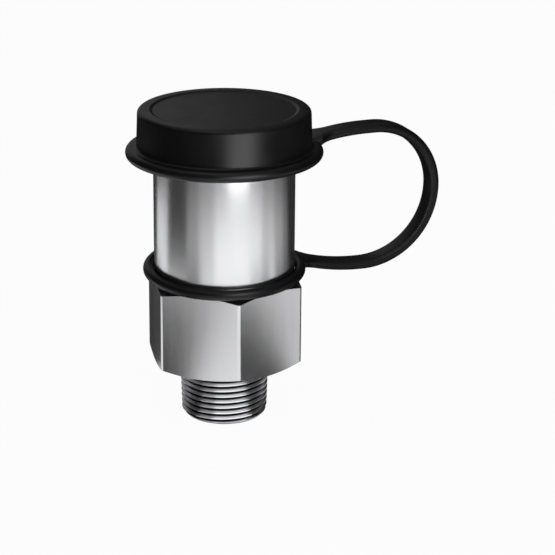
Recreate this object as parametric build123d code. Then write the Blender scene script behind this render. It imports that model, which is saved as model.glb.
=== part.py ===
from build123d import *
import os
from math import asin, cos, degrees, radians, tan

# Pop-action safety valve with a rubber rain cap that hangs on its own strap.
# Millimetres, +Z up. The origin is on the valve's axis at the inlet end of the
# pipe nipple, and the strap stands out along +X.

# Running and seating clearances
running_gap = 0.05      # shaft in a bush, screw thread in its hole
seat_gap = 0.05         # flat faces that meet but belong to pieces that move apart
rubber_gap = 0.15       # rubber round metal

# Pipe nipple, 3/4 inch taper pipe thread, drawn over its crests
nipple_length = 17.8
nipple_end_r = 13.0     # crest radius at the small end
pipe_taper = 1 / 16     # on diameter, per unit of length
nipple_chamfer = 1.2
inlet_bore_r = 9.3

# Hexagon
hex_across_flats = 42.86
hex_height = 26.1
hex_turn = 20.4         # a corner's angle from +X, degrees
hex_edge_fillet = 1.3   # rounding of the six upright edges
hex_top_chamfer = 20.0  # slope of the cone that takes the corners off, degrees
hex_foot_chamfer = 24.0

# Barrel and its bores
barrel_step = 0.18      # the barrel is turned this far below the flats
barrel_height = 49.1
barrel_chamfer = 0.8
barrel_wall = 3.05      # at the mouth thread
mouth_step = 1.2        # from the mouth thread in to the chamber
mouth_thread_depth = 22.0
mouth_chamfer = 0.7
chamber_floor_z = 24.5
floor_cone_depth = 1.2  # fall of the chamber's floor from the wall to the seat

# Seat lip inside the body
seat_lip_height = 1.5
seat_land = 1.0         # width of the flat ring that seals
seat_lip_slope = 25.0   # lean of the lip's outer side, degrees

# Seat disc and the pieces that clamp it
seat_disc_overlap = 1.3
seat_disc_thickness = 3.2
retainer_bore_gap = 1.0
retainer_thickness = 1.5
screw_r = 2.45
screw_head_flats = 8.0
screw_head_height = 3.5
screw_grip = 7.0        # length of the screw inside the stem
lock_washer_r = 4.4
lock_washer_thickness = 1.1
lock_washer_split = 0.6

# Disc holder
holder_lip = 1.8        # wall round the seat disc
holder_lip_drop = 1.4   # how far that wall hangs past the top of the seat disc
holder_floor = 4.2
holder_neck_r = 6.5
holder_neck_height = 13.0

# Stem, its cross pin and the sleeve that stops the lift
stem_r = 4.0
stem_stand = 4.35       # how far the stem stands out of the bushing
stem_chamfer = 0.8
pin_r = 1.0
pin_below_neck_top = 3.0
sleeve_wall = 2.2
disc_lift = 5.0

# Spring and its seats
spring_wire_r = 1.6
spring_turns = 6.5
spring_seat_inset = 0.25    # of the spring seats' edge from the disc holder's
spring_seat_thickness = 2.0
spring_seat_rim = 1.0
spring_seat_rim_height = 2.0
spring_side_gap = 0.4
spring_boss_height = 3.0
spring_boss_wall = 3.6
thrust_washer_thickness = 1.0
thrust_washer_width = 3.4

# Adjusting bushing, guide bush and lock ring
adjust_pitch = 1.5
adjust_turns = 1
bushing_height = 11.0
bushing_rim = 3.7
bushing_hub_drop = 4.0  # the hub stands down this far below the rim and arms
bushing_hub_r = 8.0
bushing_arm_count = 4
bushing_arm_width = 5.0
bushing_arm_height = 5.0
bush_wall = 1.5
bush_flange = 1.2
bush_flange_thickness = 1.5
lock_ring_height = 4.0
lock_ring_depth = 4.9   # from the barrel's end down to the lock ring
lock_notch_count = 4
lock_notch_width = 4.0
lock_notch_depth = 2.0

# Rain cap
cap_wall = 3.0
cap_wall_draft = 0.4    # how much narrower the wall is under the top edge
cap_overlap = 11.55     # how far the cap reaches down over the barrel
cap_bead_r = 1.65
cap_flange_reach = 1.65  # from the wall out to the middle of the bead
cap_flange_rise = 0.9   # from the top of the bead up to the foot of the wall
cap_edge_height = 1.8   # of the wall's top edge above the cap's underside
cap_edge_rounding = 1.25
cap_rim_width = 2.4     # flat rim round the sunk panel
cap_panel_step = 0.8    # slope in from the rim to the panel
cap_panel_depth = 0.35
cap_panel_dome = 0.25
cap_recess = 1.1        # the roof is thinner over the valve's mouth
cap_rib_count = 8
cap_rib_width = 2.2
cap_rib_depth = 1.8
cap_rib_lead = 1.0      # ribs start this far up from the flange

# Ring round the foot of the barrel
ring_bead_r = 1.6
ring_rise = 2.4         # the side away from the strap is pulled up by this much

# Strap from the cap's bead to the ring: a moulded C of flat band
strap_width = 6.5
strap_thickness = 3.1
strap_edge_fillet = 1.2
strap_crown_x = 45.0
strap_crown_rise = 3.2  # above the middle of the cap's bead
strap_top_bend_x = 48.0
strap_reach = 68.2
strap_low_drop = 2.5    # below the middle of the ring's bead
strap_root_rise = 0.5   # above the middle of the cap's bead
strap_root_flare = 2.2
strap_gap = 0.1

# Heights and radii that follow from those above
hex_top_z = nipple_length + hex_height
barrel_top_z = hex_top_z + barrel_height
hex_flat_r = hex_across_flats / 2
hex_corner_r = hex_flat_r / cos(radians(30))
barrel_r = hex_flat_r - barrel_step
mouth_thread_r = barrel_r - barrel_wall
chamber_r = mouth_thread_r - mouth_step

seat_z = chamber_floor_z + seat_lip_height
seat_disc_r = inlet_bore_r + seat_land + seat_disc_overlap
seat_disc_z = seat_z + seat_gap
retainer_z = seat_disc_z - retainer_thickness
lock_washer_z = retainer_z - lock_washer_thickness

holder_recess_z = seat_disc_z + seat_disc_thickness
holder_lip_z = holder_recess_z - holder_lip_drop
holder_top_z = holder_recess_z + holder_floor
holder_r = seat_disc_r + running_gap + holder_lip
holder_neck_top_z = holder_top_z + holder_neck_height
pin_z = holder_neck_top_z - pin_below_neck_top

lock_ring_z = barrel_top_z - lock_ring_depth - lock_ring_height
bushing_top_z = lock_ring_z - seat_gap
bushing_z = bushing_top_z - bushing_height
stem_top_z = bushing_top_z + stem_stand
thrust_washer_z = bushing_z - thrust_washer_thickness
spring_top_z = thrust_washer_z - spring_seat_thickness
spring_foot_z = holder_top_z + spring_seat_thickness
spring_height = spring_top_z - spring_foot_z
spring_seat_r = holder_r - spring_seat_inset
spring_mean_r = spring_seat_r - spring_seat_rim - spring_side_gap - spring_wire_r
boss_r = spring_mean_r - spring_wire_r - spring_side_gap
bushing_r = mouth_thread_r - running_gap
bushing_rim_z = bushing_z + bushing_hub_drop
bushing_rim_inner_r = bushing_r - bushing_rim
guide_bore_r = stem_r + running_gap
guide_bush_r = guide_bore_r + bush_wall
adjust_travel = adjust_pitch * adjust_turns
sleeve_top_z = spring_top_z - spring_boss_height - adjust_travel - disc_lift

cap_underside_z = barrel_top_z + seat_gap
cap_edge_z = cap_underside_z + cap_edge_height
cap_inner_r = barrel_r + rubber_gap + cap_rib_depth
cap_wall_r = cap_inner_r + cap_wall
cap_bead_ring_r = cap_wall_r + cap_flange_reach
cap_skirt_z = barrel_top_z - cap_overlap
cap_bead_z = cap_skirt_z + cap_bead_r
ring_r = barrel_r + rubber_gap + ring_bead_r
ring_low_z = hex_top_z + seat_gap + ring_bead_r
ring_tilt = degrees(asin(ring_rise / (2 * ring_r)))
strap_crown_z = cap_bead_z + strap_crown_rise
strap_low_z = ring_low_z - strap_low_drop
strap_top_bend_r = strap_reach - strap_top_bend_x
strap_far_z = strap_crown_z - strap_top_bend_r
strap_low_bend_r = strap_far_z - strap_low_z


def disc(radius, low, high):
    """A solid round disc between two heights."""
    return Pos(0, 0, low) * Cylinder(radius, high - low, align=(Align.CENTER, Align.CENTER, Align.MIN))


def tube(outer, inner, low, high):
    """A straight tube between two heights."""
    return disc(outer, low, high) - disc(inner, low, high)


def turned(points):
    """The solid that a closed outline of (radius, height) points makes round the axis."""
    outline = Polyline([(radius, 0, height) for radius, height in points], close=True)
    return revolve(make_face(outline), Axis.Z)


def valve_body():
    """Nipple, hexagon and barrel, turned and bored from one hexagon bar."""
    nipple_top_r = nipple_end_r + nipple_length * pipe_taper / 2
    nipple = turned([
        (0, 0),
        (nipple_end_r - nipple_chamfer, 0),
        (nipple_end_r, nipple_chamfer),
        (nipple_top_r, nipple_length),
        (0, nipple_length),
    ])
    corner_depth = hex_corner_r - hex_flat_r
    corner_reach = hex_corner_r + running_gap
    envelope = turned([
        (0, nipple_length),
        (hex_flat_r, nipple_length),
        (corner_reach, nipple_length + corner_depth * tan(radians(hex_foot_chamfer))),
        (corner_reach, hex_top_z - corner_depth * tan(radians(hex_top_chamfer))),
        (hex_flat_r, hex_top_z),
        (0, hex_top_z),
    ])
    outline = RegularPolygon(hex_flat_r, 6, major_radius=False, rotation=hex_turn)
    bar = extrude(outline, hex_height)
    bar = fillet(bar.edges().filter_by(Axis.Z), hex_edge_fillet)
    hexagon = envelope & (Pos(0, 0, nipple_length) * bar)
    barrel = disc(barrel_r, hex_top_z, barrel_top_z)
    barrel = chamfer(barrel.edges().group_by(Axis.Z)[-1], barrel_chamfer)
    lip_r = inlet_bore_r + seat_land
    lip_foot_r = lip_r + seat_lip_height * tan(radians(seat_lip_slope))
    floor_z = chamber_floor_z - floor_cone_depth
    mouth_z = barrel_top_z - mouth_thread_depth
    bore = turned([
        (0, -1),
        (inlet_bore_r, -1),
        (inlet_bore_r, seat_z),
        (lip_r, seat_z),
        (lip_foot_r, floor_z),
        (chamber_r, chamber_floor_z),
        (chamber_r, mouth_z - mouth_step),
        (mouth_thread_r, mouth_z),
        (mouth_thread_r, barrel_top_z - mouth_chamfer),
        (mouth_thread_r + mouth_chamfer, barrel_top_z),
        (mouth_thread_r + mouth_chamfer, barrel_top_z + 1),
        (0, barrel_top_z + 1),
    ])
    return nipple + hexagon + barrel - bore


def seat_disc():
    """Soft disc that closes on the seat lip."""
    return tube(seat_disc_r, screw_r + running_gap, seat_disc_z, holder_recess_z)


def disc_retainer():
    """Washer that clamps the middle of the seat disc."""
    ring = tube(inlet_bore_r - retainer_bore_gap, screw_r + running_gap, retainer_z, seat_disc_z)
    return chamfer(ring.edges().filter_by(GeomType.CIRCLE).group_by(Axis.Z)[0].sort_by(SortBy.RADIUS)[-1], 0.4)


def retainer_lock_washer():
    """Split spring washer under the screw's head."""
    ring = tube(lock_washer_r, screw_r + running_gap, lock_washer_z, retainer_z)
    split = Pos(lock_washer_r, 0, lock_washer_z) * Box(
        2 * lock_washer_r, lock_washer_split, 4 * lock_washer_thickness
    )
    return ring - split


def retainer_screw():
    """Hexagon screw that holds the disc, the holder and the stem together."""
    head_z = lock_washer_z - screw_head_height
    hexagon = extrude(RegularPolygon(screw_head_flats / 2, 6, major_radius=False), screw_head_height)
    shank = disc(screw_r, lock_washer_z, holder_top_z + screw_grip)
    return Pos(0, 0, head_z) * hexagon + shank


def disc_holder():
    """Cup round the seat disc with a neck that takes the stem."""
    body = turned([
        (0, holder_lip_z),
        (holder_r, holder_lip_z),
        (holder_r, holder_top_z),
        (holder_neck_r, holder_top_z),
        (holder_neck_r, holder_neck_top_z),
        (0, holder_neck_top_z),
    ])
    body -= disc(seat_disc_r + running_gap, holder_lip_z, holder_recess_z)
    body -= disc(screw_r + running_gap, holder_recess_z, holder_top_z)
    body -= disc(stem_r + running_gap, holder_top_z, holder_neck_top_z)
    return body - cross_pin(holder_neck_r + 1, pin_r + running_gap)


def cross_pin(half_length, radius):
    """A round bar along X at the height of the pin."""
    return Pos(0, 0, pin_z) * Rot(0, 90, 0) * Cylinder(radius, 2 * half_length)


def stem():
    """Spindle from the disc holder up through the guide bush."""
    rod = disc(stem_r, holder_top_z, stem_top_z)
    rod = chamfer(rod.edges().group_by(Axis.Z)[-1], stem_chamfer)
    rod -= disc(screw_r + running_gap, holder_top_z, holder_top_z + screw_grip + 1)
    return rod - cross_pin(stem_r + 1, pin_r + running_gap)


def stem_pin():
    """Pin that locks the stem in the holder's neck."""
    return cross_pin(holder_neck_r - running_gap, pin_r)


def lift_stop_sleeve():
    """Loose sleeve on the stem that meets the upper spring seat at full lift."""
    inner = stem_r + running_gap
    return tube(inner + sleeve_wall, inner, holder_neck_top_z, sleeve_top_z)


def lower_spring_seat():
    """Dished washer that carries the spring on the disc holder."""
    inner = holder_neck_r + running_gap
    seat = tube(spring_seat_r, inner, holder_top_z, spring_foot_z + spring_seat_rim_height)
    return seat - disc(spring_seat_r - spring_seat_rim, spring_foot_z, spring_foot_z + spring_seat_rim_height)


def relief_spring():
    """Round-wire compression spring with ground ends."""
    pitch = (spring_height + spring_wire_r) / spring_turns
    height = pitch * spring_turns
    coil = Helix(pitch=pitch, height=height, radius=spring_mean_r)
    section = Plane(origin=coil @ 0, z_dir=coil % 0) * Circle(spring_wire_r)
    wire = Pos(0, 0, spring_foot_z - spring_wire_r / 2) * sweep(section, path=coil, is_frenet=True)
    reach = spring_mean_r + 2 * spring_wire_r
    return wire & disc(reach, spring_foot_z, spring_top_z)


def upper_spring_seat():
    """Flanged seat that centres the top of the spring."""
    flange = disc(spring_seat_r, spring_top_z, thrust_washer_z)
    boss = disc(boss_r, spring_top_z - spring_boss_height, spring_top_z)
    return flange + boss - disc(boss_r - spring_boss_wall, spring_top_z - spring_boss_height, thrust_washer_z)


def thrust_washer():
    """Thin washer that lets the bushing turn without winding the spring."""
    inner = boss_r - spring_boss_wall
    return tube(inner + thrust_washer_width, inner, thrust_washer_z, bushing_z)


def adjusting_bushing():
    """Threaded rim and hub joined by arms, with the outlet windows between them."""
    rim = tube(bushing_r, bushing_rim_inner_r, bushing_rim_z, bushing_top_z)
    hub = disc(bushing_hub_r, bushing_z, bushing_top_z)
    reach = bushing_r - bushing_rim / 2
    arm = Pos(reach / 2, 0, bushing_rim_z) * Box(
        reach, bushing_arm_width, bushing_arm_height, align=(Align.CENTER, Align.CENTER, Align.MIN)
    )
    body = rim + hub
    for index in range(bushing_arm_count):
        body += Rot(0, 0, index * 360 / bushing_arm_count) * arm
    return body - disc(guide_bush_r + running_gap, bushing_z, bushing_top_z)


def guide_bush():
    """Flanged bush in which the stem slides."""
    sleeve = disc(guide_bush_r, bushing_z, bushing_top_z)
    flange = disc(guide_bush_r + bush_flange, bushing_top_z, bushing_top_z + bush_flange_thickness)
    return sleeve + flange - disc(guide_bore_r, bushing_z, bushing_top_z + bush_flange_thickness)


def lock_ring():
    """Thin threaded ring jammed on the bushing, with notches for a pin spanner."""
    top_z = lock_ring_z + lock_ring_height
    ring = tube(bushing_r, bushing_rim_inner_r, lock_ring_z, top_z)
    notch = Pos(bushing_rim_inner_r, 0, top_z) * Box(2 * lock_notch_depth, lock_notch_width, 2 * lock_notch_depth)
    for index in range(lock_notch_count):
        ring -= Rot(0, 0, 45 + index * 360 / lock_notch_count) * notch
    return ring


def cap_form(grown):
    """The cap's outer form as a filled solid, its wall and flange grown outwards by a small amount."""

    def at(radius, height):
        return (radius, 0, height)

    foot = at(0, cap_skirt_z - grown)
    bead_foot = at(cap_bead_ring_r, cap_skirt_z - grown)
    bead_side = at(cap_bead_ring_r + cap_bead_r + grown, cap_bead_z)
    bead_top = at(cap_bead_ring_r, cap_bead_z + cap_bead_r + grown)
    wall_foot = at(cap_wall_r + grown, cap_bead_z + cap_bead_r + cap_flange_rise + grown)
    edge_r = cap_wall_r + grown - cap_wall_draft
    wall_top = at(edge_r, cap_edge_z)
    top_z = cap_edge_z + cap_edge_rounding
    rim_outer_r = edge_r - cap_edge_rounding
    rim_inner_r = rim_outer_r - cap_rim_width
    panel_z = top_z - cap_panel_depth
    rim_outer = at(rim_outer_r, top_z)
    rim_inner = at(rim_inner_r, top_z)
    panel_edge = at(rim_inner_r - cap_panel_step, panel_z)
    crown = at(0, panel_z + cap_panel_dome)
    outline = Curve() + [
        Line(foot, bead_foot),
        ThreePointArc(bead_foot, bead_side, bead_top),
        TangentArc(bead_top, wall_foot, tangent=(-1, 0, 0)),
        Line(wall_foot, wall_top),
        TangentArc(rim_outer, wall_top, tangent=(1, 0, 0)),
        Line(rim_outer, rim_inner),
        Line(rim_inner, panel_edge),
        TangentArc(crown, panel_edge, tangent=(1, 0, 0)),
        Line(crown, foot),
    ]
    return revolve(make_face(outline), Axis.Z)


def rain_cap():
    """Rubber cap with a beaded flange, a rounded top edge, a sunk top panel and grip ribs inside."""
    cavity = disc(cap_inner_r, cap_skirt_z, cap_underside_z)
    recess = disc(chamber_r, cap_underside_z, cap_underside_z + cap_recess)
    cap = cap_form(0) - cavity - recess
    rib_inner_r = barrel_r + rubber_gap
    rib_outer_r = cap_inner_r + cap_wall / 2
    rib_foot_z = cap_skirt_z + cap_rib_lead
    rib_height = cap_underside_z - rib_foot_z
    rib = Pos(0, 0, rib_foot_z) * Box(
        rib_outer_r, cap_rib_width, rib_height, align=(Align.MIN, Align.CENTER, Align.MIN)
    )
    rib -= disc(rib_inner_r, rib_foot_z, cap_underside_z)
    for index in range(cap_rib_count):
        cap += Rot(0, 0, (index + 0.5) * 360 / cap_rib_count) * rib
    return cap


def beaded_ring(bead_r):
    """Round bead bent to a ring, resting on the hexagon at +X and raised at -X."""
    return Pos(0, 0, ring_low_z + ring_rise / 2) * Rot(0, ring_tilt, 0) * Torus(ring_r, bead_r)


def cap_ring():
    """Ring that keeps the cap on the valve and turns round the barrel's foot."""
    return beaded_ring(ring_bead_r)


def strap_path():
    """Middle line of the strap, from the cap's wall to the middle of the ring's bead."""

    def at(x, z):
        return (x, 0, z)

    crown = at(strap_crown_x, strap_crown_z)
    top_bend = at(strap_top_bend_x, strap_crown_z)
    far = at(strap_reach, strap_far_z)
    low = at(strap_reach - strap_low_bend_r, strap_low_z)
    return Wire([
        TangentArc(crown, at(cap_wall_r, cap_bead_z + strap_root_rise), tangent=(-1, 0, 0)),
        Line(crown, top_bend),
        TangentArc(top_bend, far, tangent=(1, 0, 0)),
        TangentArc(far, low, tangent=(0, 0, -1)),
        TangentArc(low, at(ring_r, ring_low_z), tangent=(-1, 0, 0)),
    ])


def strap_band(width):
    """Flat band of the given width with rounded edges along the strap's middle line."""
    path = strap_path()
    start = Plane(origin=path @ 0, x_dir=(0, 1, 0), z_dir=path % 0)
    return sweep(start * RectangleRounded(width, strap_thickness, strap_edge_fillet), path=path)


def root_flare(bead_outer_r, bead_z):
    """Space that the band widens into where it meets a bead."""
    start_x = bead_outer_r - strap_root_flare
    end_x = bead_outer_r + strap_root_flare
    side = strap_width / 2 + strap_root_flare
    tall = 4 * strap_thickness
    space = Pos((start_x + end_x) / 2, 0, bead_z) * Box(end_x - start_x, 2 * side, tall)
    for y in (side, -side):
        space -= Pos(end_x, y, bead_z) * Cylinder(strap_root_flare, tall)
    return space


def cap_strap():
    """Moulded strap between the cap and the ring, widened at both roots."""
    wide = strap_band(strap_width + 2 * strap_root_flare)
    cap_root = wide & root_flare(cap_bead_ring_r + cap_bead_r, cap_bead_z)
    ring_root = wide & root_flare(ring_r + ring_bead_r, ring_low_z)
    band = strap_band(strap_width) + cap_root + ring_root
    return band - cap_form(strap_gap) - beaded_ring(ring_bead_r + strap_gap)


sub_parts = {
    "valve_body": valve_body,
    "seat_disc": seat_disc,
    "disc_retainer": disc_retainer,
    "retainer_lock_washer": retainer_lock_washer,
    "retainer_screw": retainer_screw,
    "disc_holder": disc_holder,
    "stem": stem,
    "stem_pin": stem_pin,
    "lift_stop_sleeve": lift_stop_sleeve,
    "lower_spring_seat": lower_spring_seat,
    "relief_spring": relief_spring,
    "upper_spring_seat": upper_spring_seat,
    "thrust_washer": thrust_washer,
    "adjusting_bushing": adjusting_bushing,
    "guide_bush": guide_bush,
    "lock_ring": lock_ring,
    "rain_cap": rain_cap,
    "cap_ring": cap_ring,
    "cap_strap": cap_strap,
}

os.makedirs("parts", exist_ok=True)
for name, make in sub_parts.items():
    export_step(make(), f"parts/{name}.step")
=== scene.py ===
from math import asin, atan2, cos, hypot, pi, radians, sin, sqrt, tan

import bmesh
import bpy
from bpy.props import FloatProperty, FloatVectorProperty, IntProperty, PointerProperty
from mathutils import Matrix, Vector


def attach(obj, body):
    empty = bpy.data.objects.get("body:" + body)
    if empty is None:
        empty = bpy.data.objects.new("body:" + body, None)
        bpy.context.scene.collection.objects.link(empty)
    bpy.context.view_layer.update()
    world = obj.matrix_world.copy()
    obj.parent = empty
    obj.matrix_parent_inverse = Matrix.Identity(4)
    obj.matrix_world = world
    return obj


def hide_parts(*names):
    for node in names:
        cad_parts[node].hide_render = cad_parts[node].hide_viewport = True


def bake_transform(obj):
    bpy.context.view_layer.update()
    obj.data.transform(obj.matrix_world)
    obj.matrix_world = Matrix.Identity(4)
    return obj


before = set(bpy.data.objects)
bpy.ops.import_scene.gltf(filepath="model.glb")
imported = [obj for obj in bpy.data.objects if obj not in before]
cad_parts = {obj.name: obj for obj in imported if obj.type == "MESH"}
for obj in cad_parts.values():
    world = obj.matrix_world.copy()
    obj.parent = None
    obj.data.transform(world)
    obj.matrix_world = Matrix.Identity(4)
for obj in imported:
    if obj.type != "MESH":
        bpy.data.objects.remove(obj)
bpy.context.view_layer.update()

bl_info = {
    "name": "Safety valve dressing",
    "version": (1, 0, 0),
    "blender": (4, 5, 0),
    "location": "3D View > Sidebar > Valve",
    "description": "Builds the visible surfaces of a pop-action safety valve round its CAD frame",
    "category": "Object",
}

MM = 0.001
WELD = 0.5e-6
SPIN_STEPS = 192


# Sizes and colours

def length(name, description, default):
    """A length that a user can change, given in millimetres and kept in metres."""
    return FloatProperty(
        name=name, description=description, default=default * MM, unit="LENGTH", subtype="DISTANCE", precision=5
    )


def slope(name, description, default):
    """An angle that a user can change, given in degrees and kept in radians."""
    return FloatProperty(name=name, description=description, default=radians(default), subtype="ANGLE")


def tint(name, description, default):
    """A colour that a user can change."""
    return FloatVectorProperty(
        name=name, description=description, default=default, size=3, min=0.0, max=1.0, subtype="COLOR"
    )


def share(name, description, default):
    """A share from nothing to all that a user can change."""
    return FloatProperty(name=name, description=description, default=default, min=0.0, max=1.0, subtype="FACTOR")


class BodySizes(bpy.types.PropertyGroup):
    """Sizes of the nipple, the hexagon and the barrel."""

    nipple_length: length("Nipple length", "From the inlet end up to the hexagon", 17.8)
    nipple_end_r: length("Nipple radius", "Over the crests at the small end", 13.0)
    nipple_chamfer_r: length("Nipple chamfer radius", "Where the end chamfer meets the end face", 11.75)
    thread_pitch: length("Pipe thread pitch", "From crest to crest", 1.814)
    thread_depth: length("Pipe thread depth", "From crest to root", 1.3)
    inlet_bore_r: length("Inlet bore radius", "Radius of the gas way", 9.3)
    hex_across_flats: length("Across flats", "Width of the hexagon", 42.86)
    hex_height: length("Hexagon height", "Height of the wrench flats", 26.1)
    hex_turn: slope("Hexagon turn", "A corner's angle from the strap's side", 20.4)
    hex_edge_r: length("Hexagon edge radius", "Rounding of the six upright edges", 1.3)
    hex_top_chamfer: slope("Top chamfer", "Slope of the cone over the corners", 20.0)
    hex_foot_chamfer: slope("Foot chamfer", "Slope of the cone under the corners", 24.0)
    barrel_step: length("Barrel step", "How far the barrel is turned below the flats", 0.18)
    barrel_height: length("Barrel height", "From the hexagon to the mouth", 49.1)
    barrel_chamfer: length("Barrel chamfer", "Outer chamfer at the mouth", 0.8)
    mouth_thread_r: length("Mouth thread radius", "Bore that takes the adjusting bushing", 18.2)
    mouth_thread_depth: length("Mouth thread depth", "Down from the mouth", 22.0)
    mouth_chamfer: length("Mouth chamfer", "Inner chamfer at the mouth", 0.7)
    chamber_r: length("Chamber radius", "Bore round the spring", 17.0)
    chamber_floor_z: length("Chamber floor", "Height of the chamber's floor at its wall", 24.5)
    seat_rise: length("Seat rise", "From the chamber's floor up to the seat", 1.5)
    seat_land: length("Seat land", "Width of the flat ring that seals", 1.0)


class CapSizes(bpy.types.PropertyGroup):
    """Sizes of the rubber cap."""

    inner_r: length("Inner radius", "Inside the skirt, over the ribs' roots", 23.2)
    wall_r: length("Wall radius", "Outer radius of the wall at its foot", 26.2)
    edge_r: length("Edge radius", "Outer radius of the wall under the top edge", 25.8)
    bead_ring_r: length("Bead ring radius", "To the middle of the bead", 27.85)
    bead_r: length("Bead radius", "Of the bead's section", 1.65)
    foot_fillet: length("Foot fillet", "Between the bead and the wall", 0.9)
    skirt_z: length("Skirt height", "Lowest point of the cap", 81.45)
    underside_z: length("Underside height", "Where the cap rests on the barrel", 93.05)
    top_z: length("Top height", "Height of the flat rim", 96.1)
    edge_rounding: length("Edge rounding", "Between the wall and the rim", 1.25)
    panel_r: length("Panel radius", "Of the sunk panel in the top", 21.35)
    panel_step: length("Panel step", "Slope from the rim in to the panel", 0.8)
    panel_drop: length("Panel drop", "How far the panel lies below the rim", 0.35)
    panel_dome: length("Panel dome", "How far the panel rises to its middle", 0.25)
    recess_r: length("Recess radius", "Of the thinner roof over the mouth", 17.0)
    recess: length("Recess depth", "Of the thinner roof over the mouth", 1.1)
    rib_tip_r: length("Rib tip radius", "Where the ribs touch the barrel", 21.4)
    rib_count: IntProperty(name="Ribs", description="Number of grip ribs", default=8, min=1)
    rib_width: length("Rib width", "Of each grip rib", 2.2)
    rib_lead: length("Rib lead", "From the skirt's edge up to the ribs", 1.0)


class StrapSizes(bpy.types.PropertyGroup):
    """Sizes of the strap and the ring."""

    ring_r: length("Ring radius", "To the middle of the ring's bead", 22.94)
    ring_bead_r: length("Ring bead radius", "Of the ring's section", 1.66)
    ring_z: length("Ring height", "Middle of the bead on its low side", 45.6)
    ring_rise: length("Ring rise", "How much higher the opposite side lies", 2.0)
    ring_low_side: slope("Ring's low side", "Angle of its lowest point from the strap", -110.0)
    width: length("Strap width", "Of the flat band", 6.5)
    thickness: length("Strap thickness", "Of the flat band", 3.1)
    corner_r: length("Strap corner radius", "Rounding of the band's corners", 1.25)
    reach: length("Strap reach", "Middle of the band at its far side", 68.2)
    top_bend_x: length("Top bend", "Where the far bend starts at the top", 48.0)
    crown_x: length("Crown", "Where the band is highest and level", 45.0)
    crown_z: length("Crown height", "Middle of the band at its highest", 86.3)
    root_x: length("Cap root", "Where the band ends in the cap's wall", 25.7)
    root_z: length("Cap root height", "Middle of the band at the cap", 83.6)
    low_z: length("Low height", "Middle of the band at its lowest", 43.05)
    flare: length("Root flare", "How much wider each side is at a bead", 2.2)


class SpringSizes(bpy.types.PropertyGroup):
    """Sizes of the spring."""

    mean_r: length("Mean radius", "Of the coil", 10.2)
    wire_r: length("Wire radius", "Of the wire", 1.6)
    foot_z: length("Foot height", "Ground end on the lower seat", 35.45)
    top_z: length("Top height", "Ground end under the upper seat", 70.05)
    split_z: length("Split height", "Where the two visible halves meet", 60.0)
    turns: FloatProperty(name="Turns", description="Number of coils", default=6.5, min=1.0)


class Finishes(bpy.types.PropertyGroup):
    """Colours and finishes."""

    steel: tint("Body steel", "Turned and milled steel", (0.60, 0.60, 0.61))
    steel_roughness: share("Steel roughness", "Of the turned barrel", 0.25)
    rubber: tint("Cap rubber", "Moulded black rubber", (0.0045, 0.0045, 0.0047))
    rubber_roughness: share("Rubber roughness", "Of the moulded skin", 0.38)
    brass: tint("Brass", "Turned inner pieces", (0.72, 0.55, 0.28))
    stainless: tint("Stainless steel", "Stem, screw and spring seats", (0.62, 0.62, 0.63))
    spring: tint("Spring steel", "Drawn wire", (0.33, 0.33, 0.35))
    nitrile: tint("Seat rubber", "Soft seat disc", (0.05, 0.05, 0.05))
    floor: tint("Floor", "Paper under the valve", (0.86, 0.86, 0.86))


# Materials

class Value:
    """A socket in a material. Arithmetic on it adds Math nodes."""

    def __init__(self, graph, socket):
        self.graph = graph
        self.socket = socket

    def math(self, operation, first, second=0.0, clamp=False):
        settings = {"operation": operation, "use_clamp": clamp}
        return self.graph.node("Math", settings, {0: first, 1: second})["Value"]

    def __add__(self, other):
        return self.math("ADD", self, other)

    def __sub__(self, other):
        return self.math("SUBTRACT", self, other)

    def __rsub__(self, other):
        return self.math("SUBTRACT", other, self)

    def __mul__(self, other):
        return self.math("MULTIPLY", self, other)

    def __truediv__(self, other):
        return self.math("DIVIDE", self, other)

    def __rtruediv__(self, other):
        return self.math("DIVIDE", other, self)

    def __pow__(self, other):
        return self.math("POWER", self, other)

    def clamped(self):
        return self.math("ADD", self, 0.0, clamp=True)

    __radd__ = __add__
    __rmul__ = __mul__


class Node:
    """A node whose outputs are read by name or number."""

    def __init__(self, graph, node):
        self.graph = graph
        self.node = node

    def __getitem__(self, key):
        return Value(self.graph, self.node.outputs[key])


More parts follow.
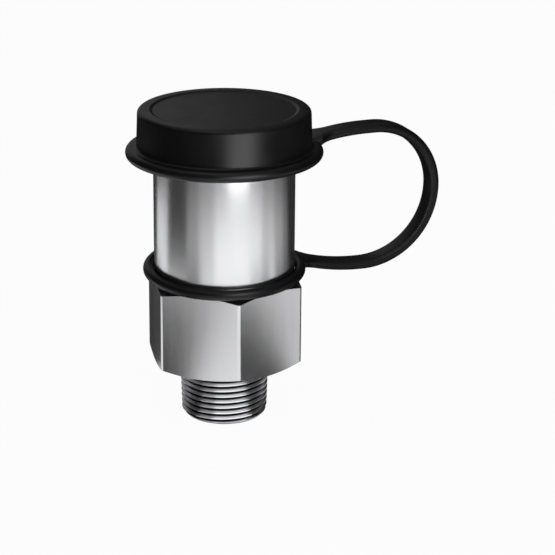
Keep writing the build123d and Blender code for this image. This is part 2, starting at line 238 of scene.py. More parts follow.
class Graph:
    """One node tree, started empty."""

    def __init__(self, tree):
        self.tree = tree
        tree.nodes.clear()

    def node(self, kind, settings=None, sockets=None):
        """Adds a node: its settings first, then the values or links of its sockets."""
        node = self.tree.nodes.new("ShaderNode" + kind)
        for name, value in (settings or {}).items():
            setattr(node, name, value)
        for key, value in (sockets or {}).items():
            if isinstance(value, Value):
                self.tree.links.new(value.socket, node.inputs[key])
            else:
                node.inputs[key].default_value = value
        return Node(self, node)

    def noise(self, scale, detail=2.0, vector=None, along=None):
        """Noise from 0 to 1 at a scale per metre, over a vector or along one value."""
        if along is not None:
            sockets = {"W": along, "Scale": scale, "Detail": detail}
            return self.node("TexNoise", {"noise_dimensions": "1D"}, sockets)["Fac"]
        return self.node("TexNoise", None, {"Vector": vector, "Scale": scale, "Detail": detail})["Fac"]

    def mix(self, amount, first, second):
        """A colour between two others."""
        sockets = {0: amount, 6: first, 7: second}
        return self.node("Mix", {"data_type": "RGBA"}, sockets)[2]

    def stretched(self, vector, scale):
        """A vector with each direction at its own scale."""
        return self.node("VectorMath", {"operation": "MULTIPLY"}, {0: vector, 1: scale})["Vector"]

    def place(self):
        """The point on the piece, with its three parts and its distance from the valve's axis."""
        point = self.node("TexCoord")["Object"]
        parts = self.node("SeparateXYZ", None, {"Vector": point})
        x, y, z = parts["X"], parts["Y"], parts["Z"]
        return point, z, (x * x + y * y) ** 0.5

    def surface(self, colour, roughness, height, depth, settings):
        """The finished surface, with its relief from height."""
        bump = self.node("Bump", None, {"Height": height, "Distance": depth, "Strength": 1.0})["Normal"]
        sockets = {"Base Color": colour, "Roughness": roughness, "Normal": bump}
        sockets.update(settings)
        bsdf = self.node("BsdfPrincipled", None, sockets)["BSDF"]
        self.node("OutputMaterial", None, {"Surface": bsdf})


def shaded(colour, factor):
    """A plain colour made lighter or darker, with its alpha."""
    return tuple(min(1.0, part * factor) for part in colour) + (1.0,)


def new_material(name):
    material = bpy.data.materials.new(name)
    material.use_nodes = True
    return material, Graph(material.node_tree)


def turned_steel(name, colour, roughness, turned_above=None, root_shade=None):
    """Bright steel with tool rings round the axis; below turned_above it has the streaks of drawn bar. Given a
    thread's end radius, taper and depth, painted shade darkens the thread's roots towards black.
    """
    material, graph = new_material(name)
    point, z, radius = graph.place()
    rings = graph.noise(2600.0, 3.0, along=z + radius)
    if turned_above is not None:
        streaks = graph.noise(1.0, 3.0, vector=graph.stretched(point, (900.0, 900.0, 45.0)))
        turned = ((z - turned_above) * 4000.0).clamped()
        grain = rings * turned + streaks * (1.0 - turned)
    else:
        grain = rings
    patches = graph.noise(70.0, 3.0, vector=point)
    shade = (grain * 0.4 + patches * 0.6).clamped()
    tone = graph.mix(shade, shaded(colour, 0.96), shaded(colour, 1.04))
    if root_shade is not None:
        end_r, taper, depth = root_shade
        # painted shade: the deeper a point lies in the thread's roots, the nearer its colour goes to black
        sunk = ((end_r + z * taper - radius) / depth).clamped()
        tone = graph.mix(((sunk - 0.45) * 2.8).clamped(), tone, shaded(colour, 0.03))
    rough = roughness + (grain - 0.5) * 0.06 + (patches - 0.5) * 0.04
    graph.surface(tone, rough, grain, 1.5e-6, {"Metallic": 1.0})
    return material


def moulded_rubber(name, colour, roughness):
    """Black rubber with a fine moulded grain and slightly worn, paler patches."""
    material, graph = new_material(name)
    point, z, radius = graph.place()
    grain = graph.noise(3800.0, 2.0, vector=point)
    patches = graph.noise(120.0, 4.0, vector=point)
    tone = graph.mix(patches, shaded(colour, 0.7), shaded(colour, 1.5))
    rough = roughness + (patches - 0.5) * 0.14 + (grain - 0.5) * 0.10
    graph.surface(tone, rough, grain, 1.0e-5, {"Specular IOR Level": 0.25})
    return material


# Forms

def round_corner(bm, corner, radius):
    """Rounds one corner of a flat outline."""
    first, second = (edge.other_vert(corner).co - corner.co for edge in corner.link_edges[:2])
    reach = radius / tan(first.angle(second) / 2)
    bmesh.ops.bevel(
        bm, geom=[corner], offset=reach, offset_type="OFFSET", affect="VERTICES",
        segments=8, profile=0.5, material=-1, clamp_overlap=False,
    )


def flat_outline(bm, corners):
    """Edges of a closed outline in the XZ plane from (radius, height, rounding) corners."""
    verts = [bm.verts.new((radius, 0.0, height)) for radius, height, _ in corners]
    bm.faces.new(verts)
    bm.normal_update()
    for vert, (_, _, rounding) in zip(verts, corners):
        if rounding:
            round_corner(bm, vert, rounding)
    bmesh.ops.delete(bm, geom=bm.faces[:], context="FACES_ONLY")
    on_axis = [edge for edge in bm.edges if all(vert.co.x < WELD for vert in edge.verts)]
    bmesh.ops.delete(bm, geom=on_axis, context="EDGES")
    return bm.edges[:]


def spun(corners, steps=SPIN_STEPS):
    """A closed outline of (radius, height, rounding) corners, spun about the axis."""
    bm = bmesh.new()
    edges = flat_outline(bm, corners)
    bmesh.ops.spin(
        bm, geom=bm.verts[:] + edges, cent=(0, 0, 0), axis=(0, 0, 1), angle=2 * pi, steps=steps, use_merge=True
    )
    bmesh.ops.remove_doubles(bm, verts=bm.verts[:], dist=WELD)
    return bm


def joined(first, *others):
    """Several forms in one mesh."""
    for other in others:
        mesh = bpy.data.meshes.new("joined")
        other.to_mesh(mesh)
        other.free()
        first.from_mesh(mesh)
        bpy.data.meshes.remove(mesh)
    return first


def loose_object(name, bm):
    mesh = bpy.data.meshes.new(name)
    bm.to_mesh(mesh)
    bm.free()
    thing = bpy.data.objects.new(name, mesh)
    bpy.context.scene.collection.objects.link(thing)
    return thing


def cut_away(form, tool):
    """The first form without the second."""
    bmesh.ops.recalc_face_normals(form, faces=form.faces[:])
    bmesh.ops.recalc_face_normals(tool, faces=tool.faces[:])
    blank = loose_object("blank", form)
    cutter = loose_object("cutter", tool)
    cut = blank.modifiers.new("cut", "BOOLEAN")
    cut.operation = "DIFFERENCE"
    cut.solver = "EXACT"
    cut.object = cutter
    bpy.context.view_layer.update()
    result = bmesh.new()
    result.from_object(blank, bpy.context.evaluated_depsgraph_get())
    for thing in (blank, cutter):
        mesh = thing.data
        bpy.data.objects.remove(thing)
        bpy.data.meshes.remove(mesh)
    return result


def finished(name, bm, material, replaces, sharp=32.0):
    """The mesh as a named piece, welded, facing outwards, with edges above the given angle left crisp."""
    bmesh.ops.remove_doubles(bm, verts=bm.verts[:], dist=WELD)
    bmesh.ops.recalc_face_normals(bm, faces=bm.faces[:])
    for face in bm.faces:
        face.smooth = True
    for edge in bm.edges:
        edge.smooth = len(edge.link_faces) == 2 and edge.calc_face_angle(0.0) < radians(sharp)
    thing = loose_object(name, bm)
    thing.data.materials.append(material)
    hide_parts(*replaces)
    return thing


def crowned_normals(thing):
    """Shades the large flat faces flat and keeps the roundings between them smooth."""
    weighted = thing.modifiers.new("flat faces", "WEIGHTED_NORMAL")
    weighted.keep_sharp = True


# Pieces

def hexagon_cutter(sizes, low, high):
    """The stock outside the hexagon: a thick sleeve with a hexagonal hole."""
    flat_r = sizes.hex_across_flats / 2
    bm = bmesh.new()
    turn = Matrix.Rotation(sizes.hex_turn + pi / 2, 4, "Z")
    bmesh.ops.create_circle(bm, cap_ends=True, segments=6, radius=flat_r / cos(pi / 6), matrix=turn)
    for corner in bm.verts[:]:
        round_corner(bm, corner, sizes.hex_edge_r)
    bmesh.ops.delete(bm, geom=bm.faces[:], context="FACES_ONLY")
    bmesh.ops.create_circle(bm, cap_ends=False, segments=96, radius=flat_r * 1.5)
    bmesh.ops.bridge_loops(bm, edges=bm.edges[:])
    bmesh.ops.translate(bm, vec=(0, 0, low), verts=bm.verts[:])
    raised = bmesh.ops.extrude_face_region(bm, geom=bm.faces[:])["geom"]
    tops = [item for item in raised if isinstance(item, bmesh.types.BMVert)]
    bmesh.ops.translate(bm, vec=(0, 0, high - low), verts=tops)
    return bm


def body_form(sizes):
    """Hexagon and barrel with the bores, the seat and the mouth."""
    flat_r = sizes.hex_across_flats / 2
    corner_r = flat_r / cos(pi / 6)
    foot_z = sizes.nipple_length
    top_z = foot_z + sizes.hex_height
    mouth_z = top_z + sizes.barrel_height
    barrel_r = flat_r - sizes.barrel_step
    foot_rise = (corner_r - flat_r) * tan(sizes.hex_foot_chamfer)
    top_rise = (corner_r - flat_r) * tan(sizes.hex_top_chamfer)
    thread_z = mouth_z - sizes.mouth_thread_depth
    step = sizes.mouth_thread_r - sizes.chamber_r
    seat_z = sizes.chamber_floor_z + sizes.seat_rise
    lip_r = sizes.inlet_bore_r + sizes.seat_land
    break_r = 0.15 * MM
    return spun([
        (sizes.inlet_bore_r, foot_z, 0),
        (flat_r, foot_z, 0),
        (corner_r + 0.05 * MM, foot_z + foot_rise, 0),
        (corner_r + 0.05 * MM, top_z - top_rise, 0),
        (flat_r, top_z, 0),
        (barrel_r, top_z, 0),
        (barrel_r, mouth_z - sizes.barrel_chamfer, 2 * break_r),
        (barrel_r - sizes.barrel_chamfer, mouth_z, break_r),
        (sizes.mouth_thread_r + sizes.mouth_chamfer, mouth_z, break_r),
        (sizes.mouth_thread_r, mouth_z - sizes.mouth_chamfer, 0),
        (sizes.mouth_thread_r, thread_z, 0),
        (sizes.chamber_r, thread_z - step, 0),
        (sizes.chamber_r, sizes.chamber_floor_z, 2 * break_r),
        (lip_r + 1.1 * MM, sizes.chamber_floor_z - 1.1 * MM, 2 * break_r),
        (lip_r, seat_z, break_r),
        (sizes.inlet_bore_r, seat_z, break_r),
    ])


def ring_loop(bm, radius, height, steps):
    """A circle of edges round the axis."""
    made = bmesh.ops.create_circle(
        bm, cap_ends=False, segments=steps, radius=radius, matrix=Matrix.Translation((0, 0, height))
    )
    return list({edge for vert in made["verts"] for edge in vert.link_edges})


THREAD_ROOT = 0.06
THREAD_CREST = 0.14


def nipple_form(sizes):
    """Taper pipe thread over the inlet bore; root and crest are flat over shares of one pitch."""
    steps = 120
    pitch = sizes.thread_pitch
    crest, depth = sizes.nipple_end_r, sizes.thread_depth
    flank = 5
    rise_at, run = THREAD_ROOT / 2, (1 - THREAD_ROOT - THREAD_CREST) / 2
    fall_at = rise_at + run + THREAD_CREST
    marks = [(0.0, 1.0), (rise_at, 1.0)]
    marks += [(rise_at + run * i / flank, 1.0 - i / flank) for i in range(1, flank + 1)]
    marks += [(fall_at + run * i / flank, i / flank) for i in range(flank + 1)]
    marks += [(1.0, 1.0)]
    bm = bmesh.new()
    verts = [bm.verts.new((crest - depth * sunk, 0, pitch * (along - 1.0))) for along, sunk in marks]
    edges = [bm.edges.new(pair) for pair in zip(verts, verts[1:])]
    turns = int(sizes.nipple_length / pitch) + 3
    bmesh.ops.spin(
        bm, geom=verts + edges, cent=(0, 0, 0), axis=(0, 0, 1), dvec=(0, 0, pitch / steps),
        angle=2 * pi * turns, steps=steps * turns, use_merge=False,
    )
    bmesh.ops.remove_doubles(bm, verts=bm.verts[:], dist=WELD)
    neck_z = sizes.nipple_length - 1.3 * MM
    for vert in bm.verts:
        radius = hypot(vert.co.x, vert.co.y)
        wanted = radius + vert.co.z / 32
        fade = min(1.0, max(0.0, (vert.co.z - neck_z) / (1.3 * MM)))
        wanted += fade * (crest - 0.6 * depth + sizes.nipple_length / 32 - wanted)
        wanted = min(wanted, sizes.nipple_chamfer_r + max(0.0, vert.co.z))
        vert.co.x *= wanted / radius
        vert.co.y *= wanted / radius
    for height, side in ((0.0, -1), (sizes.nipple_length, 1)):
        bmesh.ops.bisect_plane(
            bm, geom=bm.verts[:] + bm.edges[:] + bm.faces[:], dist=WELD,
            plane_co=(0, 0, height), plane_no=(0, 0, side), clear_outer=True,
        )
    bore = sizes.inlet_bore_r
    levels = ((bore + 0.5 * MM, 0.0), (bore, 0.5 * MM), (bore, sizes.nipple_length))
    loops = []
    for height in (0.0, sizes.nipple_length):
        loops.append([edge for edge in bm.edges if edge.is_boundary and all(
            abs(vert.co.z - height) < 2 * WELD for vert in edge.verts)])
    walls = [ring_loop(bm, radius, height, steps) for radius, height in levels]
    for first, second in ((loops[0], walls[0]), (walls[0], walls[1]), (walls[1], walls[2]), (walls[2], loops[1])):
        bmesh.ops.bridge_loops(bm, edges=first + second)
    return bm


def cap_form(sizes):
    """Beaded flange, drafted wall, rounded edge and sunk top panel, hollow, with grip ribs."""
    bead_z = sizes.skirt_z + sizes.bead_r
    bead_side = sizes.bead_ring_r + sizes.bead_r
    bead_round = sizes.bead_r * 0.999
    panel_z = sizes.top_z - sizes.panel_drop
    shell = spun([
        (sizes.inner_r, sizes.skirt_z, 0.5 * MM),
        (bead_side, sizes.skirt_z, bead_round),
        (bead_side, bead_z + sizes.bead_r, bead_round),
        (sizes.wall_r, bead_z + sizes.bead_r, sizes.foot_fillet),
        (sizes.edge_r, sizes.top_z, sizes.edge_rounding),
        (sizes.panel_r + sizes.panel_step, sizes.top_z, 0.5 * MM),
        (sizes.panel_r, panel_z, 0.8 * MM),
        (0.0, panel_z + sizes.panel_dome, 0),
        (0.0, sizes.underside_z + sizes.recess, 0),
        (sizes.recess_r, sizes.underside_z + sizes.recess, 0.4 * MM),
        (sizes.recess_r, sizes.underside_z, 0.2 * MM),
        (sizes.inner_r, sizes.underside_z, 0.8 * MM),
    ])
    ribs = bmesh.new()
    depth = sizes.inner_r - sizes.rib_tip_r + 1.0 * MM
    foot = sizes.skirt_z + sizes.rib_lead
    height = sizes.underside_z - foot
    for index in range(sizes.rib_count):
        place = (
            Matrix.Rotation((index + 0.5) * 2 * pi / sizes.rib_count, 4, "Z")
            @ Matrix.Translation((sizes.rib_tip_r + depth / 2, 0, foot + height / 2))
            @ Matrix.Diagonal((depth, sizes.rib_width, height, 1.0))
        )
        bmesh.ops.create_cube(ribs, size=1.0, matrix=place)
    bmesh.ops.bevel(
        ribs, geom=ribs.edges[:], offset=0.3 * MM, offset_type="OFFSET", affect="EDGES",
        segments=3, profile=0.5, material=-1,
    )
    return joined(shell, ribs)


def rounded_band(bm, width, thickness, corner_r):
    """A rounded rectangle of edges in the XY plane, thickness along X."""
    made = bmesh.ops.create_circle(
        bm, cap_ends=True, segments=4, radius=sqrt(0.5), matrix=Matrix.Rotation(pi / 4, 4, "Z")
    )
    bmesh.ops.scale(bm, vec=(thickness, width, 1.0), verts=made["verts"])
    for corner in bm.verts[:]:
        round_corner(bm, corner, corner_r)
    bmesh.ops.delete(bm, geom=bm.faces[:], context="FACES_ONLY")
    return bm.edges[:]


def swept_on(bm, edges, centre, turn, steps):
    """Carries the last section round a centre in the XZ plane; turn is positive from +Z towards +X."""
    verts = list({vert for edge in edges for vert in edge.verts})
    made = bmesh.ops.spin(
        bm, geom=verts + list(edges), cent=(centre[0], 0, centre[1]), axis=(0, 1, 0), angle=turn,
        steps=steps, use_merge=False,
    )
    return [item for item in made["geom_last"] if isinstance(item, bmesh.types.BMEdge)]


def closed_with_face(bm, edges):
    """Closes the end of a swept form."""
    bmesh.ops.contextual_create(bm, geom=edges)


def ring_height(sizes, angle):
    """Height of the ring's middle at an angle round the axis from the strap."""
    return sizes.ring_z + sizes.ring_rise * (1 - cos(angle - sizes.ring_low_side)) / 2


def strap_form(sizes, cap_sizes):
    """The flat band from the cap's wall round to the ring, widened at both roots."""
    bm = bmesh.new()
    section = rounded_band(bm, sizes.width, sizes.thickness, sizes.corner_r)
    top_r = sizes.reach - sizes.top_bend_x
    far_z = sizes.crown_z - top_r
    bmesh.ops.translate(bm, vec=(sizes.reach, 0, far_z), verts=bm.verts[:])

    run = sizes.crown_x - sizes.root_x
    drop = sizes.crown_z - sizes.root_z
    crown_r = (run * run + drop * drop) / (2 * drop)
    upper = swept_on(bm, section, (sizes.top_bend_x, far_z), -pi / 2, 40)
    moved = bmesh.ops.extrude_edge_only(bm, edges=upper)["geom"]
    ends = [item for item in moved if isinstance(item, bmesh.types.BMVert)]
    bmesh.ops.translate(bm, vec=(sizes.crown_x - sizes.top_bend_x, 0, 0), verts=ends)
    upper = [item for item in moved if isinstance(item, bmesh.types.BMEdge)
             and all(vert in ends for vert in item.verts)]
    upper = swept_on(bm, upper, (sizes.crown_x, sizes.crown_z - crown_r), -asin(run / crown_r), 48)
    closed_with_face(bm, upper)

    low_r = far_z - sizes.low_z
    low_x = sizes.reach - low_r
    run = low_x - sizes.ring_r
    rise = ring_height(sizes, 0.0) - sizes.low_z
    foot_r = (run * run + rise * rise) / (2 * rise)
    lower = swept_on(bm, section, (low_x, far_z), pi / 2, 44)
    lower = swept_on(bm, lower, (low_x, sizes.low_z + foot_r), asin(run / foot_r), 54)
    closed_with_face(bm, lower)

    cap_side = cap_sizes.bead_ring_r + cap_sizes.bead_r
    ring_side = sizes.ring_r + sizes.ring_bead_r
    for vert in bm.verts:
        side = cap_side if vert.co.z > far_z else ring_side
        near = min(1.0, max(0.0, (side + 2 * sizes.flare - vert.co.x) / (2 * sizes.flare)))
        widening = sizes.flare * near * near
        vert.co.y *= 1 + widening / (sizes.width / 2)
    return bm


def ring_form(sizes):
    """Round bead bent to a ring that lies a little askew on the hexagon."""
    bm = bmesh.new()
    place = Matrix.Translation((sizes.ring_r, 0, 0)) @ Matrix.Rotation(pi / 2, 4, "X")
    bmesh.ops.create_circle(bm, cap_ends=False, segments=32, radius=sizes.ring_bead_r, matrix=place)
    bmesh.ops.spin(
        bm, geom=bm.verts[:] + bm.edges[:], cent=(0, 0, 0), axis=(0, 0, 1), angle=2 * pi,
        steps=SPIN_STEPS, use_merge=True,
    )
    for vert in bm.verts:
        vert.co.z += ring_height(sizes, atan2(vert.co.y, vert.co.x))
    return bm


def spring_form(sizes, low, high):
    """Part of the coil between two heights, ground flat where it ends."""
    bm = bmesh.new()
    pitch = (sizes.top_z - sizes.foot_z + sizes.wire_r) / sizes.turns
    steps = 48
    start = sizes.foot_z - sizes.wire_r / 2
    place = Matrix.Translation((sizes.mean_r, 0, start)) @ Matrix.Rotation(pi / 2, 4, "X")
    bmesh.ops.create_circle(bm, cap_ends=False, segments=20, radius=sizes.wire_r, matrix=place)
    count = int(steps * sizes.turns)
    bmesh.ops.spin(
        bm, geom=bm.verts[:] + bm.edges[:], cent=(0, 0, 0), axis=(0, 0, 1), dvec=(0, 0, pitch / steps),
        angle=2 * pi * sizes.turns, steps=count, use_merge=False,
    )
    bmesh.ops.holes_fill(bm, edges=[edge for edge in bm.edges if edge.is_boundary], sides=0)
    for height, side in ((low, -1), (high, 1)):
        bmesh.ops.bisect_plane(
            bm, geom=bm.verts[:] + bm.edges[:] + bm.faces[:], dist=WELD,
            plane_co=(0, 0, height), plane_no=(0, 0, side), clear_outer=True,
        )
        bmesh.ops.holes_fill(bm, edges=[edge for edge in bm.edges if edge.is_boundary], sides=0)
    return bm


# Stage

AZIMUTH = radians(-20.0)
ELEVATION = radians(19.2)
DISTANCE = 0.650
PIXELS_PER_METRE = 3310.0
IMAGE_SIZE = 555
AIM = Vector((0, 0, 0.052))
AIM_PIXEL = (224.3, 250.0)
MIDDLE_PIXEL = (224.3, 277.5)


def camera_axes():
    """Right, up and back of the camera."""
    back = Vector((sin(AZIMUTH) * cos(ELEVATION), -cos(AZIMUTH) * cos(ELEVATION), sin(ELEVATION)))
    right = Vector((cos(AZIMUTH), sin(AZIMUTH), 0))
    return right, back.cross(right), back


def towards(bearing, rise=0.0):
    """Direction from the valve at a bearing to the camera's right, in degrees, and a rise."""
    turn = AZIMUTH - pi / 2 + radians(bearing)
    rise = radians(rise)
    return Vector((cos(turn) * cos(rise), sin(turn) * cos(rise), sin(rise)))


def add_camera():
    right, up, back = camera_axes()
    data = bpy.data.cameras.new("camera")
    data.sensor_width = 36.0
    data.lens = PIXELS_PER_METRE * DISTANCE / IMAGE_SIZE * 36.0
    data.clip_start = 0.01
    data.shift_x = (IMAGE_SIZE / 2 - MIDDLE_PIXEL[0]) / IMAGE_SIZE
    camera = bpy.data.objects.new("camera", data)
    place = AIM + back * DISTANCE
    place -= right * ((AIM_PIXEL[0] - MIDDLE_PIXEL[0]) / PIXELS_PER_METRE)
    place += up * ((AIM_PIXEL[1] - MIDDLE_PIXEL[1]) / PIXELS_PER_METRE)
    turn = Matrix((right, up, back)).transposed().to_4x4()
    camera.matrix_world = Matrix.Translation(place) @ turn
    bpy.context.scene.collection.objects.link(camera)
    bpy.context.scene.camera = camera


def add_lamp(name, bearing, rise, distance, width, height, level):
    """A soft box aimed at the valve; level is the share of a white surface's brightness that it gives."""
    data = bpy.data.lights.new(name, "AREA")
    data.shape = "RECTANGLE"
    data.size, data.size_y = width, height
    data.energy = level * pi * pi * distance * distance
    lamp = bpy.data.objects.new(name, data)
    away = towards(bearing, rise)
    lamp.location = AIM + away * distance
    lamp.rotation_euler = away.to_track_quat("Z", "Y").to_euler()
    bpy.context.scene.collection.objects.link(lamp)
    return lamp


def seen_or(graph, seen, unseen):
    """One surface for camera, glossy and transmission rays and another for the rest."""
    path = graph.node("LightPath")
    direct = (path["Is Camera Ray"] + path["Is Glossy Ray"] + path["Is Transmission Ray"]).clamped()
    return graph.node("MixShader", None, {0: direct, 1: unseen, 2: seen})["Shader"]


def add_floor(finishes):
    bm = bmesh.new()
    bmesh.ops.create_grid(bm, x_segments=1, y_segments=1, size=6.0)
    bmesh.ops.translate(bm, vec=(0, 0, -0.1 * MM), verts=bm.verts[:])
    floor = loose_object("floor", bm)
    material, graph = new_material("pale_paper")
    paper = graph.node("BsdfDiffuse", None, {"Color": shaded(finishes.floor, 1.0)})["BSDF"]
    white = graph.node("Emission", None, {"Color": (1, 1, 1, 1), "Strength": 1.0})["Emission"]
    washed = graph.node("MixShader", None, {0: 0.95, 1: paper, 2: white})["Shader"]
    graph.node("OutputMaterial", None, {"Surface": seen_or(graph, washed, paper)})
    floor.data.materials.append(material)


def add_card(name, start, end, low, high, level):
    """A card round part of the stage that only reflections show, between two (radius, height) points in mm."""
    bm = bmesh.new()
    rim = [bm.verts.new(towards(start) * radius * MM + Vector((0, 0, height * MM))) for radius, height in (low, high)]
    edge = bm.edges.new(rim)
    bmesh.ops.spin(
        bm, geom=rim + [edge], cent=(0, 0, 0), axis=(0, 0, 1), angle=radians(end - start),
        steps=max(2, int((end - start) / 6)), use_merge=False,
    )
    card = loose_object(name, bm)
    material, graph = new_material(name + "_grey")
    glow = graph.node("Emission", None, {"Color": (1, 1, 1, 1), "Strength": level})["Emission"]
    graph.node("OutputMaterial", None, {"Surface": glow})
    card.data.materials.append(material)
    card.visible_camera = False
    card.visible_diffuse = False
    card.visible_shadow = False
    card.visible_transmission = False


FLOOR_Z = 0.2
NEAR, LOW, HIGH, FAR, OUTER = ((radius, FLOOR_Z) for radius in (14.0, 50.0, 155.0, 250.0, 1000.0))
WALL_TOP, ROOF = (1000.0, 1000.0), (1.0, 1000.0)
GLOW_FOOT, GLOW_HEAD = (100.0, 62.0), (100.0, 105.0)
BLACK_FLAG, GREY_CARD, PALE_CARD, WHITE_CARD, SOFT_BOX, STRIP_LIGHT = 0.03, 0.3, 0.7, 1.2, 2.0, 6.0
CARDS = (
    ("barrel_streak", -135.0, -100.0, HIGH, FAR, WHITE_CARD),
    ("barrel_left_flag", -100.0, -60.0, HIGH, FAR, BLACK_FLAG),
    ("barrel_left", -60.0, -40.0, HIGH, FAR, PALE_CARD),
    ("barrel_front_left", -40.0, -15.0, HIGH, FAR, WHITE_CARD),
    ("barrel_front", -15.0, 60.0, HIGH, FAR, SOFT_BOX),
    ("barrel_right", 60.0, 85.0, HIGH, FAR, WHITE_CARD),
    ("barrel_far_right", 85.0, 105.0, HIGH, FAR, PALE_CARD),
    ("barrel_right_edge", 105.0, 120.0, HIGH, FAR, GREY_CARD),
    ("barrel_back", 120.0, 225.0, HIGH, FAR, BLACK_FLAG),
    ("hex_left", -120.0, -60.0, LOW, HIGH, WHITE_CARD),
    ("hex_left_flag", -60.0, -35.0, LOW, HIGH, BLACK_FLAG),
    ("hex_front", -35.0, 40.0, LOW, HIGH, WHITE_CARD),
    ("hex_right_flag", 40.0, 75.0, LOW, HIGH, BLACK_FLAG),
    ("hex_right", 75.0, 85.0, LOW, HIGH, WHITE_CARD),
    ("hex_back", 85.0, 240.0, LOW, HIGH, BLACK_FLAG),
    ("thread_front_left", -50.0, -20.0, NEAR, LOW, PALE_CARD),
    ("thread_front", -20.0, 50.0, NEAR, LOW, SOFT_BOX),
    ("thread_right_flag", 50.0, 95.0, NEAR, LOW, BLACK_FLAG),
    ("thread_back", 95.0, 255.0, NEAR, LOW, PALE_CARD),
    ("thread_left_flag", 255.0, 310.0, NEAR, LOW, BLACK_FLAG),
    ("cap_surround", -180.0, 180.0, FAR, OUTER, BLACK_FLAG),
    ("cap_glow", 5.0, 35.0, GLOW_FOOT, GLOW_HEAD, STRIP_LIGHT),
    ("wall_back_left", -180.0, -140.0, OUTER, WALL_TOP, GREY_CARD),
    ("wall", -140.0, 180.0, OUTER, WALL_TOP, BLACK_FLAG),
    ("roof", -180.0, 180.0, ROOF, WALL_TOP, GREY_CARD),
)


def add_world():
    world = bpy.data.worlds.new("studio")
    world.use_nodes = True
    graph = Graph(world.node_tree)
    seen = graph.node("Background", None, {"Color": (1, 1, 1, 1), "Strength": 1.0})["Background"]
    unseen = graph.node("Background", None, {"Color": (0.45, 0.45, 0.45, 1), "Strength": 1.0})["Background"]
    graph.node("OutputWorld", None, {"Surface": seen_or(graph, seen, unseen)})
    bpy.context.scene.world = world


# Operators

INNER_FINISHES = {
    "seat_disc": "nitrile",
    "disc_retainer": "brass",
    "retainer_lock_washer": "stainless",
    "retainer_screw": "stainless",
    "disc_holder": "brass",
    "stem": "stainless",
    "stem_pin": "stainless",
    "lift_stop_sleeve": "brass",
    "lower_spring_seat": "stainless",
    "upper_spring_seat": "stainless",
    "thrust_washer": "brass",
    "adjusting_bushing": "brass",
    "guide_bush": "brass",
    "lock_ring": "brass",
}


class VALVE_OT_body(bpy.types.Operator):
    """Adds the hexagon and the barrel"""

    bl_idname = "valve.body"
    bl_label = "Body"

    def execute(self, context):
        sizes, finishes = context.scene.valve_body, context.scene.valve_finishes
        hex_top = sizes.nipple_length + sizes.hex_height
        tool = hexagon_cutter(sizes, sizes.nipple_length - 2 * MM, hex_top + 2 * MM)
        form = cut_away(body_form(sizes), tool)
        steel = turned_steel("body_steel", finishes.steel, finishes.steel_roughness, turned_above=hex_top)
        body = finished("hexagon_body", form, steel, ["valve_body"], sharp=14.0)
        crowned_normals(body)
        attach(body, "valve")
        return {"FINISHED"}


class VALVE_OT_nipple(bpy.types.Operator):
    """Adds the threaded pipe nipple"""

    bl_idname = "valve.nipple"
    bl_label = "Pipe nipple"

    def execute(self, context):
        sizes, finishes = context.scene.valve_body, context.scene.valve_finishes
        # the thread steel gets painted shade in the thread's roots
        root_shade = (sizes.nipple_end_r, 1 / 32, sizes.thread_depth)
        steel = turned_steel("thread_steel", finishes.steel, finishes.steel_roughness + 0.04, root_shade=root_shade)
        nipple = finished("pipe_thread", nipple_form(sizes), steel, ["valve_body"], sharp=50.0)
        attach(nipple, "valve")
        return {"FINISHED"}


class VALVE_OT_cap(bpy.types.Operator):
    """Adds the rubber rain cap"""

    bl_idname = "valve.cap"
    bl_label = "Rain cap"

    def execute(self, context):
        finishes = context.scene.valve_finishes
        rubber = moulded_rubber("cap_rubber", finishes.rubber, finishes.rubber_roughness)
        cap = finished("moulded_cap", cap_form(context.scene.valve_cap), rubber, ["rain_cap"])
        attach(cap, "cap")
        return {"FINISHED"}


class VALVE_OT_strap(bpy.types.Operator):
    """Adds the moulded strap and the ring it ends in"""

    bl_idname = "valve.strap"
    bl_label = "Strap and ring"

    def execute(self, context):
        sizes, finishes = context.scene.valve_strap, context.scene.valve_finishes
        rubber = moulded_rubber("strap_rubber", finishes.rubber, finishes.rubber_roughness)
        form = strap_form(sizes, context.scene.valve_cap)
        strap = finished("moulded_strap", form, rubber, ["cap_strap"])
        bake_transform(strap)
        ring = finished("moulded_ring", ring_form(sizes), rubber, ["cap_ring"])
        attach(ring, "retaining_ring")
        return {"FINISHED"}


class VALVE_OT_spring(bpy.types.Operator):
    """Adds the spring in two parts that meet at the split height"""

    bl_idname = "valve.spring"
    bl_label = "Spring"

    def execute(self, context):
        sizes, finishes = context.scene.valve_spring, context.scene.valve_finishes
        wire = turned_steel("spring_wire", finishes.spring, 0.35)
        parts = (
            ("spring_foot", sizes.foot_z, sizes.split_z, "disc_assembly", "valve"),
            ("spring_head", sizes.split_z, sizes.top_z, "valve", "spring_retainer"),
        )
        for name, low, high, first, second in parts:
            coil = finished(name, spring_form(sizes, low, high), wire, ["relief_spring"])
            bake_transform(coil)
        return {"FINISHED"}


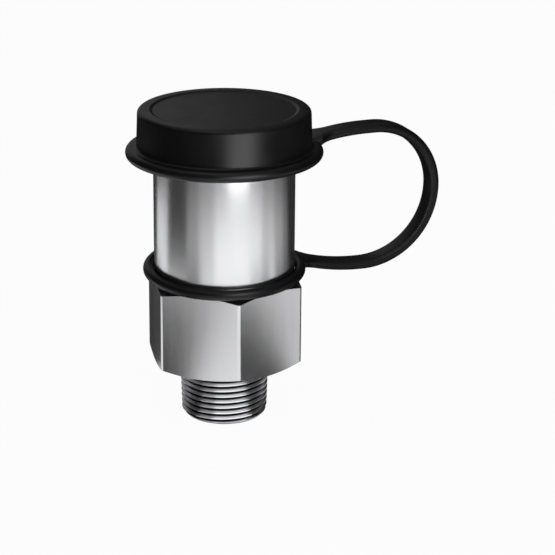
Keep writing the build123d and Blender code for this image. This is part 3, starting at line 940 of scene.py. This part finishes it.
class VALVE_OT_trim(bpy.types.Operator):
    """Gives the inner pieces their finishes"""

    bl_idname = "valve.trim"
    bl_label = "Inner pieces"

    def execute(self, context):
        finishes = context.scene.valve_finishes
        metals = {
            "brass": turned_steel("inner_brass", finishes.brass, 0.24),
            "stainless": turned_steel("stem_steel", finishes.stainless, 0.22),
            "nitrile": moulded_rubber("seat_rubber", finishes.nitrile, 0.55),
        }
        for name, metal in INNER_FINISHES.items():
            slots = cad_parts[name].material_slots
            if not slots:
                raise RuntimeError(f"{name} has no material slot")
            for slot in slots:
                slot.material = metals[metal]
        return {"FINISHED"}


class VALVE_OT_stage(bpy.types.Operator):
    """Adds the camera, the floor, the soft boxes and the cards that the steel reflects"""

    bl_idname = "valve.stage"
    bl_label = "Stage"

    def execute(self, context):
        add_camera()
        add_floor(context.scene.valve_finishes)
        add_world()
        add_lamp("key_box", 30.0, 24.0, 0.55, 0.16, 0.40, 0.17)
        add_lamp("top_box", -20.0, 78.0, 0.70, 0.45, 0.45, 0.12)
        for card in CARDS:
            add_card(*card)
        context.scene.view_settings.view_transform = "Standard"
        return {"FINISHED"}


class VALVE_PT_panel(bpy.types.Panel):
    """Lists the valve's pieces"""

    bl_idname = "VALVE_PT_panel"
    bl_label = "Safety valve"
    bl_space_type = "VIEW_3D"
    bl_region_type = "UI"
    bl_category = "Valve"

    def draw(self, context):
        for operator in OPERATORS:
            self.layout.operator(operator.bl_idname)


SIZE_GROUPS = {
    "valve_body": BodySizes,
    "valve_cap": CapSizes,
    "valve_strap": StrapSizes,
    "valve_spring": SpringSizes,
    "valve_finishes": Finishes,
}
OPERATORS = (
    VALVE_OT_body, VALVE_OT_nipple, VALVE_OT_cap, VALVE_OT_strap, VALVE_OT_spring, VALVE_OT_trim, VALVE_OT_stage,
)


def register():
    for cls in (*SIZE_GROUPS.values(), *OPERATORS, VALVE_PT_panel):
        bpy.utils.register_class(cls)
    for name, group in SIZE_GROUPS.items():
        setattr(bpy.types.Scene, name, PointerProperty(type=group))


def unregister():
    for name in SIZE_GROUPS:
        delattr(bpy.types.Scene, name)
    for cls in (VALVE_PT_panel, *OPERATORS, *reversed(list(SIZE_GROUPS.values()))):
        bpy.utils.unregister_class(cls)


def main():
    register()
    bpy.ops.valve.body()
    bpy.ops.valve.nipple()
    bpy.ops.valve.cap()
    bpy.ops.valve.strap()
    bpy.ops.valve.spring()
    bpy.ops.valve.trim()
    bpy.ops.valve.stage()


if __name__ == "__main__":
    main()
